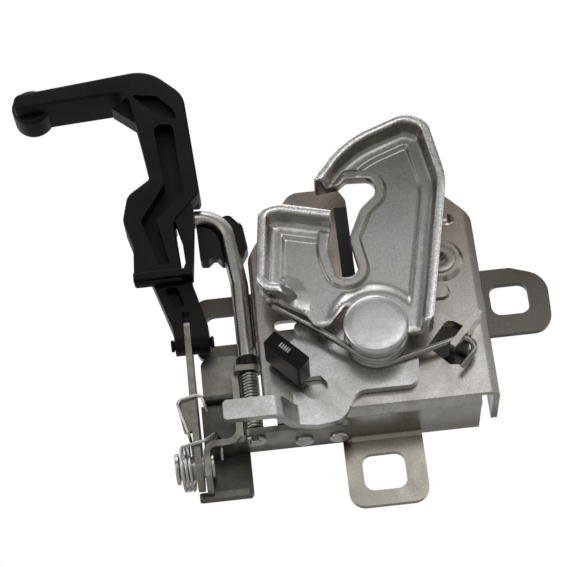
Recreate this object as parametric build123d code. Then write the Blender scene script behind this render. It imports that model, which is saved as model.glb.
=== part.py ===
from build123d import *
import math
import os

# Bonnet latch with its release handle, in millimetres, upright as it is mounted:
# X to the right, Y away from the viewer, Z up. The pieces are drawn about the main
# rivet, whose axis is x = 0, z = 0, with the front face of the latch plate at y = 0,
# and are moved at the end so that the origin is the centre of the latched striker,
# on the plane that the latch is bolted against.

# Latch plate, a pressed sheet pan
SHEET = 2.0
PAN_DEPTH = 20.0
PAN_LEFT = -36.5
PAN_RIGHT = 35.5
PAN_BOTTOM = -22.0
PAN_TOP = 56.8
BEND = 2.5  # bend radius at the middle of the sheet
STRIKER_X = 4.1
STRIKER_Z = 21.3
SLOT_WIDTH = 15.0
TAB_HOLE_Z = 19.8
TAB_HOLE_WIDTH = 12.3
TAB_HOLE_HEIGHT = 10.8
RIGHT_HOLE_X = 45.4
LEFT_HOLE_X = -46.0
BOTTOM_HOLE_X = -1.4
BOTTOM_HOLE_Z = -34.0
PAWL_X = 23.2
PAWL_Z = 26.9
PAWL_FRONT = 2.3
PAWL_THICK = 3.0
LUG_ANGLE = 48.0
LINING_LIP = 4.1
LINING_SKIN = 0.8

# Stack on the main rivet, from the plate forwards
LEVER_THICK = 3.0
LEVER_FRONT = -3.3
SPRING_WIRE = 2.0
SPRING_PITCH = 2.05
SPRING_RADIUS = 8.7
SPRING_FRONT = -9.9
LEFT_LEG_ANGLE = 227.0
RIGHT_LEG_ANGLE = 283.6
CATCH_THICK = 2.8
CATCH_FRONT = -13.0
RIM_FRONT = -20.0
RIM_THICK = 2.6
BAND_WIDTH = 3.2
BAND_RISE = 0.9
HEAD_RADIUS = 9.8
HEAD_BACK = -13.2
HEAD_THICK = 2.6
SHANK_RADIUS = 5.0
BORE_RADIUS = 5.05
BUSH_RADIUS = 7.0

# Release lever
BAR_FRONT = -12.9
BAR_LEFT = -48.0
BAR_TOP = -18.5
BAR_BOTTOM = -24.8
BUFFER_LENGTH = 14.1
BUFFER_WIDTH = 5.4
BUFFER_FRONT = -15.0
BUFFER_BACK = -3.6
BUFFER_PLACE = Location((-27.5, 0, -5.6), (0, 46.4, 0))

# Side bracket and the parts on it
BRACKET_BACK = 18.0
BRACKET_FRONT = 6.0
SIDE_X = -54.7
WALL_X = -44.2
POST_LEFT = -54.6
POST_RIGHT = -41.8
POST_TOP = 7.6
LIP_LEFT = -58.4
FLOOR_Z = -23.8
LIP_Z = -37.2
STEP_Z = -7.0
STEP_FRONT = 12.0
BRACKET_RIVETS = (-24.8, -14.3)
RIVET_Y = 10.0
PIVOT_Y = 10.0
PIVOT_Z = -29.5
PIVOT_RADIUS = 3.5
HANDLE_LEVER_X = -57.3
HANDLE_LEVER_THICK = 2.0
RETURN_WIRE = 1.0
RETURN_RADIUS = 6.8
RETURN_PITCH = 1.2
RETURN_TURNS = 2.75
RETURN_LEFT = -62.4
HOOK_HOLE_X = -50.3
HOOK_HOLE_Y = 8.6
STRAP_TOP = PAN_BOTTOM
STRAP_BOTTOM = PAN_BOTTOM - SHEET

# Rod and its bush
ROD_RADIUS = 2.8
ROD_X = -39.7
ROD_Y = 6.0
ROD_BENDS = [9.5, 12.0]
SPIGOT_RADIUS = 1.7
EAR_Z = 0.0
SPIGOT_TOP = 3.4
SPIGOT_BOTTOM = STRAP_BOTTOM - 1.4
RING_GAP = 0.2
RING_THICK = 0.8
ROD_WIRE = 1.0
ROD_SPRING_RADIUS = 2.5
BUSH_BODY = 2.9
BUSH_COLLAR = 3.6

# Handle
HANDLE_FRONT = -3.0
HANDLE_DEPTH = 15.0
GROOVE_DEPTH = 4.5
HOLLOW_DEPTH = 2.5
STEM_BACK = 7.0
FORK_FRONT = 0.0
FORK_BACK = 8.3
FORK_END = 6.4
PIN_Y = 5.0
PIN_Z = 9.6
PIN_RADIUS = 1.3
PIN_HEAD = 1.9

TO_FRAME = Pos(-STRIKER_X, -PAN_DEPTH, -STRIKER_Z)


def rounded(corners):
    """A closed face from corners given as (x, z, corner radius)."""
    points = [(x, z) for x, z, _ in corners]
    radii = [r for _, _, r in corners]
    return make_face(FilletPolyline(*points, radius=radii, close=True).edges())


def strip(corners, width):
    """A flat ribbon of the given width along an open path of (x, z, corner radius)."""
    points = [(x, z) for x, z, _ in corners]
    radii = [r for _, _, r in corners[1:-1]]
    return trace(FilletPolyline(*points, radius=radii), width)


def slab(face, front, thickness):
    """A sheet parallel to the plate: an XZ face from y = front, going back."""
    return extrude(Plane.XZ.offset(-front) * face, amount=-thickness)


def side_slab(face, left, thickness):
    """A sheet at right angles to X: a YZ face from x = left, going right."""
    return extrude(Plane.YZ.offset(left) * face, amount=thickness)


def level_slab(face, bottom, thickness):
    """A level sheet: an XY face from z = bottom, going up."""
    return extrude(Plane.XY.offset(bottom) * face, amount=thickness)


def y_rod(x, z, radius, front, back):
    """A round bar along Y between two depths."""
    return slab(Pos(x, z) * Circle(radius), front, back - front)


def x_rod(y, z, radius, left, right):
    """A round bar along X."""
    return side_slab(Pos(y, z) * Circle(radius), left, right - left)


def wire_along(points, radii, radius):
    """Round wire bent along a path with an arc at each inner point."""
    path = FilletPolyline(*points, radius=radii) if radii else Line(*points)
    start = Plane(origin=path @ 0, z_dir=path % 0)
    return sweep(start * Circle(radius), path=path)


def square_hole(x, z, width, height, front, back):
    """A rounded square hole through a tab."""
    return slab(Pos(x, z) * RectangleRounded(width, height, 3.2), front, back - front)


SLOT_LEFT = STRIKER_X - SLOT_WIDTH / 2
SLOT_RIGHT = STRIKER_X + SLOT_WIDTH / 2
LINING_TOP = 49.4
LINING_BOTTOM = 23.0

PLATE_OUTLINE = [
    (PAN_LEFT, PAN_BOTTOM - 25.0, 0),
    (PAN_LEFT, 35.5, 3.0),
    (-21.0, PAN_TOP, 5.0),
    (SLOT_LEFT - 2.5, PAN_TOP, 0),
    (SLOT_LEFT, PAN_TOP - 4.5, 4.0),
    (SLOT_LEFT, STRIKER_Z, 0),
    (SLOT_RIGHT, STRIKER_Z, 0),
    (SLOT_RIGHT, PAN_TOP - 4.5, 4.0),
    (SLOT_RIGHT + 2.5, PAN_TOP, 0),
    (21.6, PAN_TOP, 4.0),
    (PAN_RIGHT, 41.7, 3.0),
    (PAN_RIGHT, PAN_BOTTOM - 25.0, 0),
]
PAWL_WINDOW = [
    (15.6, -2.2, 1.5),
    (23.0, 6.6, 2.6),
    (30.0, 1.6, 1.0),
    (26.0, -9.6, 1.2),
    (21.6, -9.0, 1.2),
]


def main_plate():
    """Pressed pan: front panel, bent side and bottom flanges, three bolting tabs."""
    left = PAN_LEFT + SHEET / 2
    right = PAN_RIGHT - SHEET / 2
    back = PAN_DEPTH - SHEET / 2
    front = SHEET / 2
    channel = [(left, PAN_DEPTH, 0), (left, front, BEND), (right, front, BEND), (right, PAN_DEPTH, 0)]
    walls = level_slab(strip(channel, SHEET), -19.5, 80.0)
    hat = [(-58.0, back, 0), (left, back, BEND), (left, front, BEND), (right, front, BEND)]
    hat = hat + [(right, back, BEND), (60.0, back, 0)]
    ears = level_slab(strip(hat, SHEET), 7.6, 24.0)
    right_ear = rounded([(30.0, 7.6, 0), (30.0, 31.0, 0), (47.0, 31.0, 3), (58.4, 27.0, 8), (57.6, 7.6, 6)])
    left_ear = rounded([(-55.6, 9.8, 3.5), (-55.0, 31.4, 4.0), (-30.0, 31.4, 0), (-30.0, 9.8, 0)])
    middle = Pos((left + right) / 2, 20.0) * Rectangle(60.0, 60.0)
    ears = ears & slab(right_ear + left_ear + middle, -5.0, 30.0)

    low = PAN_BOTTOM + SHEET / 2
    foot = [(front, 10.0, 0), (front, low, BEND), (PAN_DEPTH, low, 0)]
    floor = side_slab(strip(foot, SHEET), PAN_LEFT + 4.0, 29.7 - PAN_LEFT - 4.0)
    tongue = [(front, 10.0, 0), (front, low, BEND), (back, low, BEND), (back, -46.0, 0)]
    tab = side_slab(strip(tongue, SHEET), -13.0, 24.5)
    tab_shape = [(-13.0, -44.8, 5.0), (-13.0, 12.0, 0), (11.5, 12.0, 0), (11.5, -44.8, 5.0)]
    tab = tab & slab(rounded(tab_shape), -1.0, 30.0)

    pan = walls + ears + floor + tab
    outline = rounded(PLATE_OUTLINE) - Pos(STRIKER_X, STRIKER_Z) * Circle(SLOT_WIDTH / 2)
    wide = Pos(0, 10.0) * Rectangle(130.0, 120.0)
    inner = Pos((PAN_LEFT + PAN_RIGHT) / 2, 30.0) * Rectangle(PAN_RIGHT - PAN_LEFT, 130.0)
    pan = pan & slab(outline + (wide - inner), -1.0, 30.0)

    # Corner reliefs, and the opening in the left flange for the rod's bush
    pan = pan - Pos(PAN_RIGHT - SHEET - 2.0, 13.0, PAN_BOTTOM + 1.0) * Box(4.0, 18.0, 6.0)
    pan = pan - Pos(PAN_LEFT, 12.7, -6.5) * Box(9.0, 21.4, 26.0)
    pan = pan - square_hole(RIGHT_HOLE_X, TAB_HOLE_Z, TAB_HOLE_WIDTH, TAB_HOLE_HEIGHT, 15.0, 25.0)
    pan = pan - square_hole(LEFT_HOLE_X, TAB_HOLE_Z, TAB_HOLE_WIDTH, TAB_HOLE_HEIGHT, 15.0, 25.0)
    pan = pan - square_hole(BOTTOM_HOLE_X, BOTTOM_HOLE_Z, 13.2, 12.0, 15.0, 25.0)

    # Pressed forms: boss for the pawl rivet, stiffening bead, locating dimple
    boss = extrude(Plane.XZ * Pos(PAWL_X, PAWL_Z) * Circle(7.6), amount=1.5, taper=40)
    hollow = slab(Pos(PAWL_X, PAWL_Z) * Circle(5.2), 0.6, 2.0)
    bead_shape = Pos(17.0, 15.7) * RectangleRounded(16.0, 5.6, 2.7)
    bead = extrude(Plane.XZ * bead_shape, amount=1.1, taper=30)
    trough = slab(Pos(17.0, 15.7) * RectangleRounded(13.0, 3.0, 1.4), 1.0, 2.0)
    dimple = Pos(27.4, -2.4, 41.0) * Sphere(3.4)
    pip = (Pos(27.4, -1.4, 41.0) * Sphere(4.6)) & slab(Pos(27.4, 41.0) * Circle(5.0), 1.0, 5.0)
    pan = pan + pip + boss + bead - dimple - hollow - trough

    # Window over the pawl, and the lanced lug that anchors the catch spring
    pan = pan - slab(rounded(PAWL_WINDOW), -3.0, 6.0)
    lug = Location((27.4, 0, -0.6), (0, -LUG_ANGLE, 0)) * Pos(0, -2.6, 0) * Box(14.5, 9.2, SHEET)
    slit = slab(strip([(20.0, -4.0, 0), (27.0, -2.2, 0), (30.2, -6.0, 0)], 2.3), -5.7, 2.5)
    pan = pan + lug - slit

    # Slot in the panel beside the lever's short arm
    pan = pan - slab(Pos(-26.6, 10.2) * RectangleRounded(7.4, 3.2, 1.5), -1.0, 4.0)

    # Seat of the slot lining, the main rivet, the pawl rivet and the bracket rivets
    seat = Pos(SLOT_LEFT - 0.5, 1.0, (LINING_TOP + LINING_BOTTOM) / 2)
    pan = pan - seat * Box(1.0, 4.0, LINING_TOP - LINING_BOTTOM)
    pan = pan - y_rod(0, 0, SHANK_RADIUS, -2.0, 4.0)
    pan = pan - y_rod(PAWL_X, PAWL_Z, 3.0, -3.0, 4.0)
    for x in BRACKET_RIVETS:
        pan = pan - Pos(x, RIVET_Y, PAN_BOTTOM) * Cylinder(1.6, 10.0)
    return pan


def slot_lining():
    """Soft edge trim, a U-section pushed over the left edge of the striker slot."""
    lip = LINING_LIP
    section = Pos(SLOT_LEFT - lip / 2, SHEET / 2) * Rectangle(lip, SHEET + 2 * LINING_SKIN)
    channel = Pos(SLOT_LEFT - 1.0 - lip / 2, SHEET / 2) * Rectangle(lip, SHEET)
    height = LINING_TOP - LINING_BOTTOM
    return level_slab(section - channel, LINING_BOTTOM, height)


def main_rivet():
    """Shouldered rivet that everything turns on, its tail closed behind the plate."""
    profile = [
        (0, HEAD_BACK - HEAD_THICK, 0),
        (HEAD_RADIUS, HEAD_BACK - HEAD_THICK, 0.7),
        (HEAD_RADIUS, HEAD_BACK, 0.3),
        (SHANK_RADIUS, HEAD_BACK, 0),
        (SHANK_RADIUS, SHEET, 0),
        (8.0, SHEET, 0.2),
        (7.4, SHEET + 1.5, 0.6),
        (0, SHEET + 1.5, 0),
    ]
    return revolve(Plane.XY * rounded(profile), axis=Axis.Y)


def spacer_bush():
    """Plain sleeve on the rivet that keeps catch and lever apart inside the spring."""
    ring = Circle(BUSH_RADIUS) - Circle(SHANK_RADIUS)
    return slab(ring, -10.1, 10.1 - 3.4)


HOOK_BACK = [
    (16.9, -2.9, 2.4),
    (27.4, 45.5, 26.0),
    (24.2, 66.6, 6.0),
    (17.0, 70.4, 8.0),
    (-3.2, 62.7, 34.0),
    (-14.2, 48.9, 0.8),
]
MOUTH = [
    (-14.2, 48.9, 0.8),
    (-5.6, 49.7, 2.0),
    (-3.2, 51.8, 2.0),
    (6.3, 51.2, 3.4),
    (5.2, 45.3, 2.4),
    (0.2, 40.9, 8.0),
    (-4.4, 31.0, 6.0),
    (-2.3, 17.4, 3.6),
    (-9.5, 17.2, 3.6),
    (-11.7, 27.5, 12.0),
    (-9.3, 38.1, 0.8),
]
LOBE = [
    (-9.3, 38.1, 0.8),
    (-25.0, 42.3, 7.0),
    (-31.4, 41.4, 4.5),
    (-34.3, 16.8, 4.0),
    (-32.0, 13.2, 3.0),
    (-28.0, 12.3, 0),
]
FOOT = [
    (-28.0, 12.3, 3.0),
    (-20.2, 7.3, 2.0),
    (-17.8, 2.6, 2.6),
    (-13.6, 2.7, 2.6),
    (-8.4, 8.4, 1.5),
    (0.0, 4.0, 0),
    (9.4, -2.9, 1.0),
]


def catch():
    """Rotary catch: flat blank with a hook and a lobe, its outer edges turned forward."""
    blank = rounded(HOOK_BACK[:-1] + MOUTH[:-1] + LOBE[:-1] + FOOT)
    blank = blank + Circle(9.2)
    web = slab(blank, CATCH_FRONT, CATCH_THICK)
    edges = strip(HOOK_BACK, 2 * RIM_THICK) + strip(LOBE, 2 * RIM_THICK)
    rim = slab(edges & blank, RIM_FRONT, CATCH_FRONT + CATCH_THICK - RIM_FRONT)
    closing = [(-40.0, 38.1, 0), (-40.0, 48.9, 0)]
    mouth = rounded([(x, z, r) for x, z, r in MOUTH] + closing)
    band = (offset(mouth, BAND_WIDTH) - mouth) & blank
    band = slab(band - Pos(0, 0) * Circle(13.0), CATCH_FRONT - BAND_RISE, BAND_RISE + 0.5)
    bore = y_rod(0, 0, BORE_RADIUS, -25.0, 0.0)
    return web + rim + band - bore


def wire_coil(radius, wire, pitch, turns, place):
    """A left-hand helix of round wire about the Z axis of the given plane."""
    path = Helix(pitch, pitch * turns, radius, lefthand=True)
    start = Plane(origin=path @ 0, z_dir=path % 0)
    return place * sweep(start * Circle(wire / 2), path=path, is_frenet=True)


def around(radius, degrees):
    """The point of a circle about the main rivet at the given angle from X."""
    turn = math.radians(degrees)
    return radius * math.cos(turn), radius * math.sin(turn)


def catch_spring():
    """Heavy torsion spring round the bush, one leg under the lobe, one in the lug."""
    radius = SPRING_RADIUS
    turns = 2 + (RIGHT_LEG_ANGLE - LEFT_LEG_ANGLE) / 360.0
    front = SPRING_FRONT + SPRING_WIRE / 2
    back = front + SPRING_PITCH * turns
    start = around(radius, LEFT_LEG_ANGLE)
    end = around(radius, RIGHT_LEG_ANGLE)
    place = Plane(origin=(0, front, 0), x_dir=(start[0], 0, start[1]), z_dir=(0, 1, 0))
    coil = wire_coil(radius, SPRING_WIRE, SPRING_PITCH, turns, place)
    left_leg = [
        (start[0], front, start[1]),
        (-17.5, front, 3.2),
        (-30.9, -12.6, 11.5),
        (-31.1, -16.6, 11.5),
    ]
    left = wire_along(left_leg, [6.0, 1.6], SPRING_WIRE / 2)
    right_leg = [(end[0], back, end[1]), (27.0, back, -2.2), (30.2, back, -6.0), (24.6, back, -12.2)]
    right = wire_along(right_leg, [3.0, 3.0], SPRING_WIRE / 2)
    knuckle = Pos(start[0], front, start[1]) * Sphere(SPRING_WIRE / 2 + 0.03)
    return coil + knuckle + left + right


LEVER_OUTLINE = [
    (-22.0, 10.2, 2.0),
    (-10.0, 8.6, 4.0),
    (-6.0, 12.6, 4.0),
    (7.0, 12.4, 6.0),
    (13.4, 4.0, 6.0),
    (11.9, -9.0, 3.0),
    (11.2, -15.8, 3.5),
    (-7.6, -15.6, 5.0),
    (-12.4, -24.6, 6.0),
    (-20.5, -25.5, 3.0),
    (-27.0, -24.6, 0),
    (-27.0, -14.0, 0),
    (-24.4, -14.4, 2.0),
    (-20.6, -18.0, 2.5),
    (-15.2, -13.4, 2.6),
    (-21.6, -4.6, 4.0),
    (-24.6, 8.0, 2.0),
]


def release_lever():
    """Three-armed lever on the main rivet, its long arm stepped forward to a bar."""
    body = slab(rounded(LEVER_OUTLINE), LEVER_FRONT, LEVER_THICK)
    back = LEVER_FRONT + LEVER_THICK / 2
    front = BAR_FRONT + LEVER_THICK / 2
    path = [(-24.0, back, 0), (-27.0, back, 3.0), (-32.0, front, 3.0), (BAR_LEFT, front, 0)]
    bar = level_slab(strip(path, LEVER_THICK), BAR_BOTTOM, BAR_TOP - BAR_BOTTOM)
    left_end = [(BAR_LEFT, BAR_BOTTOM, 1.0), (BAR_LEFT, BAR_TOP, 1.5)]
    bar_shape = left_end + [(-20.0, BAR_TOP, 0), (-20.0, BAR_BOTTOM, 0)]
    bar = bar & slab(rounded(bar_shape), -20.0, 25.0)
    # Tongue bent forward from the short arm, which carries the buffer
    tongue = BUFFER_PLACE * Pos(1.5, -6.6, 0) * Box(9.0, 11.4, 2.0)
    root_shape = [(-30.4, -1.0, 1.0), (-23.0, 5.0, 0), (-18.0, -9.6, 0), (-24.4, -9.6, 1.0)]
    root = slab(rounded(root_shape), LEVER_FRONT, LEVER_THICK)
    lever = body + bar + tongue + root
    return lever - y_rod(0, 0, BORE_RADIUS, -10.0, 5.0)


def lever_buffer():
    """Rubber cap pushed over the lever's tongue, with a small ribbed window in front."""
    depth = BUFFER_BACK - BUFFER_FRONT
    cap = Pos(0, (BUFFER_FRONT + BUFFER_BACK) / 2, 0) * Box(BUFFER_LENGTH, depth, BUFFER_WIDTH)
    cap = fillet(cap.edges().filter_by(Axis.Y), 0.8)
    window = Pos(-1.0, BUFFER_FRONT, 0.4) * Box(4.2, 1.2, 1.8)
    ribs = [Pos(-2.6 + 0.8 * i, BUFFER_FRONT + 0.3, 0.4) * Box(0.35, 0.6, 1.8) for i in range(5)]
    tongue = Pos(1.5, -6.6, 0) * Box(9.0, 11.4, 2.0)
    cap = cap - window - tongue
    for rib in ribs:
        cap = cap + rib
    return BUFFER_PLACE * cap


PAWL_OUTLINE = [
    (16.0, 27.0, 4.0),
    (18.5, 34.0, 4.0),
    (28.0, 33.5, 4.0),
    (30.4, 24.0, 4.0),
    (28.0, 4.0, 2.0),
    (27.0, -7.0, 2.0),
    (18.6, -6.0, 2.0),
    (18.8, 4.0, 4.0),
]


def detent_pawl():
    """Steel pawl behind the plate, hung on its rivet beside the slot."""
    pawl = slab(rounded(PAWL_OUTLINE), PAWL_FRONT, PAWL_THICK)
    return pawl - y_rod(PAWL_X, PAWL_Z, 3.05, 0.0, 8.0)


def pawl_cover():
    """Moulded sleeve over the pawl's tail, seen through the window in the plate."""
    outer = rounded([(16.4, 5.0, 2.0), (30.2, 5.0, 2.0), (29.0, -10.4, 3.0), (16.6, -9.4, 3.0)])
    cover = slab(outer, SHEET + 0.15, PAWL_THICK + 1.6)
    return cover - slab(rounded(PAWL_OUTLINE), PAWL_FRONT, PAWL_THICK)


def pawl_rivet():
    """Rivet of the pawl, its dimpled head set in the pressed boss."""
    head = y_rod(PAWL_X, PAWL_Z, 5.2, -2.1, -1.5)
    head = fillet(head.edges().group_by(Axis.Y)[0], 0.35)
    shank = y_rod(PAWL_X, PAWL_Z, 3.0, -1.5, PAWL_FRONT + PAWL_THICK + 0.2)
    tail = y_rod(PAWL_X, PAWL_Z, 4.8, PAWL_FRONT + PAWL_THICK + 0.2, PAWL_FRONT + PAWL_THICK + 1.6)
    dimple = Pos(PAWL_X, -3.0, PAWL_Z) * Sphere(2.0)
    return head + shank + tail - dimple


def side_bracket():
    """One bent sheet: strip under the pan, box for the handle's pivot, post for the rod."""
    depth = BRACKET_BACK - BRACKET_FRONT
    path = [(WALL_X, EAR_Z, 0), (WALL_X, FLOOR_Z, 4.0), (SIDE_X, FLOOR_Z, 3.0), (SIDE_X, LIP_Z, 0)]
    box_walls = slab(strip(path, SHEET), BRACKET_FRONT, depth)
    trimmed = rounded(
        [
            (5.0, 3.0, 0),
            (19.0, 3.0, 0),
            (19.0, LIP_Z - 1.0, 0),
            (14.4, LIP_Z - 1.0, 0),
            (6.0, LIP_Z + 2.4, 3.0),
            (3.0, -20.0, 3.0),
        ]
    )
    box_walls = box_walls & side_slab(trimmed, -70.0, 60.0)

    back_front = BRACKET_BACK - SHEET
    back_shape = rounded(
        [
            (-55.7, -24.0, 0),
            (-55.7, LIP_Z - 1.0, 0),
            (POST_RIGHT, LIP_Z - 1.0, 1.5),
            (POST_RIGHT, STEP_Z, 0),
            (-55.7, STEP_Z, 0),
        ]
    )
    back_wall = slab(back_shape, back_front, SHEET)
    middle = SHEET / 2
    step = [
        (back_front + middle, STEP_Z - 2.0, 0),
        (back_front + middle, STEP_Z + middle, 1.4),
        (STEP_FRONT + middle, STEP_Z + middle, 1.4),
        (STEP_FRONT + middle, POST_TOP, 0),
    ]
    upper = side_slab(strip(step, SHEET), POST_LEFT, POST_RIGHT - POST_LEFT)
    post_shape = rounded(
        [
            (POST_LEFT, STEP_Z - 4.0, 0),
            (POST_LEFT, POST_TOP, 3.0),
            (POST_RIGHT, POST_TOP, 3.0),
            (POST_RIGHT, STEP_Z - 4.0, 0),
        ]
    )
    upper = upper & slab(post_shape, 0, 30.0)
    lip_right = POST_RIGHT - 0.6
    lip_shape = [(LIP_LEFT, 14.4, 1.2), (LIP_LEFT, 18.0, 1.2), (lip_right, 18.0, 0), (lip_right, 14.4, 1.2)]
    lip = level_slab(rounded(lip_shape), LIP_Z - 1.0, SHEET)

    inner = WALL_X + 1.8
    strap_shape = rounded(
        [
            (WALL_X - 3.0, 7.0, 0),
            (inner, 7.0, 0),
            (inner, 2.0, 1.5),
            (-10.0, 2.0, 4.0),
            (-10.0, 16.0, 4.0),
            (WALL_X - 3.0, 16.0, 0),
        ]
    )
    strap = level_slab(strap_shape, STRAP_BOTTOM, SHEET)
    ear_shape = rounded([(WALL_X, 3.0, 1.0), (-36.1, 3.0, 3.0), (-36.1, 9.6, 3.0), (WALL_X, 9.6, 1.0)])
    ear = level_slab(ear_shape, EAR_Z - SHEET, SHEET)

    bracket = box_walls + back_wall + upper + lip + strap + ear
    bracket = bracket - x_rod(PIVOT_Y, PIVOT_Z, PIVOT_RADIUS - 0.5, SIDE_X - 3.0, SIDE_X + 3.0)
    bracket = bracket - Pos(HOOK_HOLE_X, HOOK_HOLE_Y, FLOOR_Z) * Cylinder(1.0, 6.0)
    bracket = bracket - Pos(ROD_X, ROD_Y, 0) * Cylinder(BUSH_BODY, 12.0)
    bracket = bracket - Pos(ROD_X, ROD_Y, STRAP_BOTTOM) * Cylinder(SPIGOT_RADIUS + 0.05, 12.0)
    for x in BRACKET_RIVETS:
        bracket = bracket - Pos(x, RIVET_Y, PAN_BOTTOM) * Cylinder(1.6, 10.0)
    return bracket


def bracket_rivets():
    """Two flat-headed rivets that hold the bracket under the pan."""
    rivets = []
    for x in BRACKET_RIVETS:
        head = Pos(x, RIVET_Y, PAN_BOTTOM - SHEET - 0.6) * Cylinder(2.8, 1.2)
        head = fillet(head.edges().group_by(Axis.Z)[0], 0.6)
        shank = Pos(x, RIVET_Y, PAN_BOTTOM) * Cylinder(1.6, 2 * SHEET)
        tail = Pos(x, RIVET_Y, PAN_BOTTOM + SHEET + 0.5) * Cylinder(2.6, 1.0)
        rivets.append(head + shank + tail)
    return rivets


def handle_lever():
    """Flat metal lever under the handle, with a flange turned out for its spring."""
    left = HANDLE_LEVER_X - HANDLE_LEVER_THICK / 2
    outline = rounded(
        [
            (0.8, 17.6, 4.0),
            (9.2, 17.6, 4.0),
            (9.4, 2.0, 10.0),
            (16.8, -22.0, 6.0),
            (16.8, -37.0, 6.5),
            (4.4, -37.0, 6.5),
            (1.0, -24.0, 5.0),
        ]
    )
    plate = side_slab(outline, left, HANDLE_LEVER_THICK)
    wing = rounded([(left + 1.0, -10.2, 0), (-62.4, -11.3, 1.0), (-60.7, -21.6, 1.0), (left + 1.0, -21.0, 0)])
    wing = slab(wing, 1.0, 1.8)
    lever = plate + wing
    lever = lever - x_rod(PIN_Y, PIN_Z, PIN_RADIUS, -70.0, -40.0)
    return lever - x_rod(PIVOT_Y, PIVOT_Z, PIVOT_RADIUS + 0.05, -70.0, -40.0)


def lever_pivot_pin():
    """Shouldered pin through the bracket's side wall, with a broad head outside."""
    wall_face = SIDE_X - SHEET / 2
    barrel = x_rod(PIVOT_Y, PIVOT_Z, PIVOT_RADIUS, -63.4, wall_face)
    head = x_rod(PIVOT_Y, PIVOT_Z, 4.8, -64.6, -63.4)
    head = fillet(head.edges().group_by(Axis.X)[0], 0.5)
    shank = x_rod(PIVOT_Y, PIVOT_Z, PIVOT_RADIUS - 0.5, wall_face, wall_face + SHEET)
    tail = x_rod(PIVOT_Y, PIVOT_Z, 3.9, wall_face + SHEET, wall_face + SHEET + 1.0)
    return barrel + head + shank + tail


def handle_return_spring():
    """Torsion spring round the pivot pin, hooked over the lever's flange and the box."""
    left = RETURN_LEFT
    right = left + RETURN_PITCH * RETURN_TURNS
    top = PIVOT_Z + RETURN_RADIUS
    lower_leg = [
        (HOOK_HOLE_X, HOOK_HOLE_Y, -28.6),
        (HOOK_HOLE_X, HOOK_HOLE_Y, -21.9),
        (-51.6, 3.0, -21.9),
        (-54.6, -0.6, -25.4),
        (left + 0.4, 0.8, -26.2),
    ]
    # The coil is a path of short chords with rounded corners, eight to a turn
    reach = RETURN_RADIUS / math.cos(math.radians(22.5))
    coil = []
    for corner in range(round(8 * RETURN_TURNS)):
        turn = math.radians(22.5 + 45.0 * corner)
        x = left + RETURN_PITCH * turn / (2 * math.pi)
        coil.append((x, PIVOT_Y - reach * math.cos(turn), PIVOT_Z - reach * math.sin(turn)))
    upper_leg = [
        (right - 0.1, -0.1, top - 0.3),
        (-62.0, -0.1, -12.4),
        (-60.9, -0.1, -11.0),
        (-56.2, -0.1, -10.2),
        (-54.4, -0.1, -10.8),
        (-53.3, -0.1, -16.0),
    ]
    tight = 0.6 * RETURN_RADIUS
    bends = [0.9, 1.2, 1.4, 1.0, tight]
    bends = bends + [0.96 * RETURN_RADIUS] * (len(coil) - 2)
    bends = bends + [tight, 1.5, 0.8, 0.8, 0.8, 0.8]
    return wire_along(lower_leg + coil + upper_leg, bends, RETURN_WIRE / 2)


HANDLE_OUTLINE = [
    (-108.2, 98.0, 1.6),
    (-107.6, 104.0, 2.6),
    (-63.0, 108.5, 13.0),
    (-51.9, 97.4, 10.0),
    (-49.4, 59.6, 3.0),
    (-58.4, 49.8, 3.0),
    (-56.9, 28.4, 0),
    (-72.4, 28.4, 1.0),
    (-71.8, 42.0, 4.0),
    (-74.6, 52.0, 6.0),
    (-72.6, 61.0, 5.0),
    (-65.0, 66.4, 2.0),
    (-68.6, 91.0, 20.0),
    (-70.6, 100.6, 4.0),
    (-95.0, 99.2, 10.0),
]


GROOVE = [
    (-62.6, 86.4, 2.5),
    (-56.2, 86.0, 2.5),
    (-54.6, 60.2, 2.0),
    (-63.8, 50.9, 1.5),
    (-60.6, 34.2, 0.8),
    (-64.2, 34.4, 0.8),
    (-68.8, 51.0, 1.5),
    (-60.5, 63.6, 1.5),
]
CORNER_HOLLOW = [
    (-69.6, 99.2, 0.6),
    (-60.6, 97.4, 2.0),
    (-55.6, 91.6, 2.0),
    (-54.6, 87.6, 0.6),
    (-60.4, 89.8, 1.0),
    (-65.2, 94.6, 1.0),
]
SIDE_WALL = [
    (-57.6, 30.0, 0),
    (-55.8, 34.5, 0),
    (-56.3, 43.3, 0),
    (-58.2, 51.0, 0),
    (-52.8, 57.2, 0),
    (-51.8, 53.0, 0),
    (-53.9, 30.0, 0),
]
FOOT_OUTLINE = [
    (-68.0, 34.0, 0),
    (-54.6, 34.0, 0),
    (-54.3, 28.0, 3.0),
    (-50.6, 13.0, 4.0),
    (-50.9, 5.0, 0),
    (-61.5, 5.0, 0),
    (-61.4, 12.5, 6.0),
]


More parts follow.
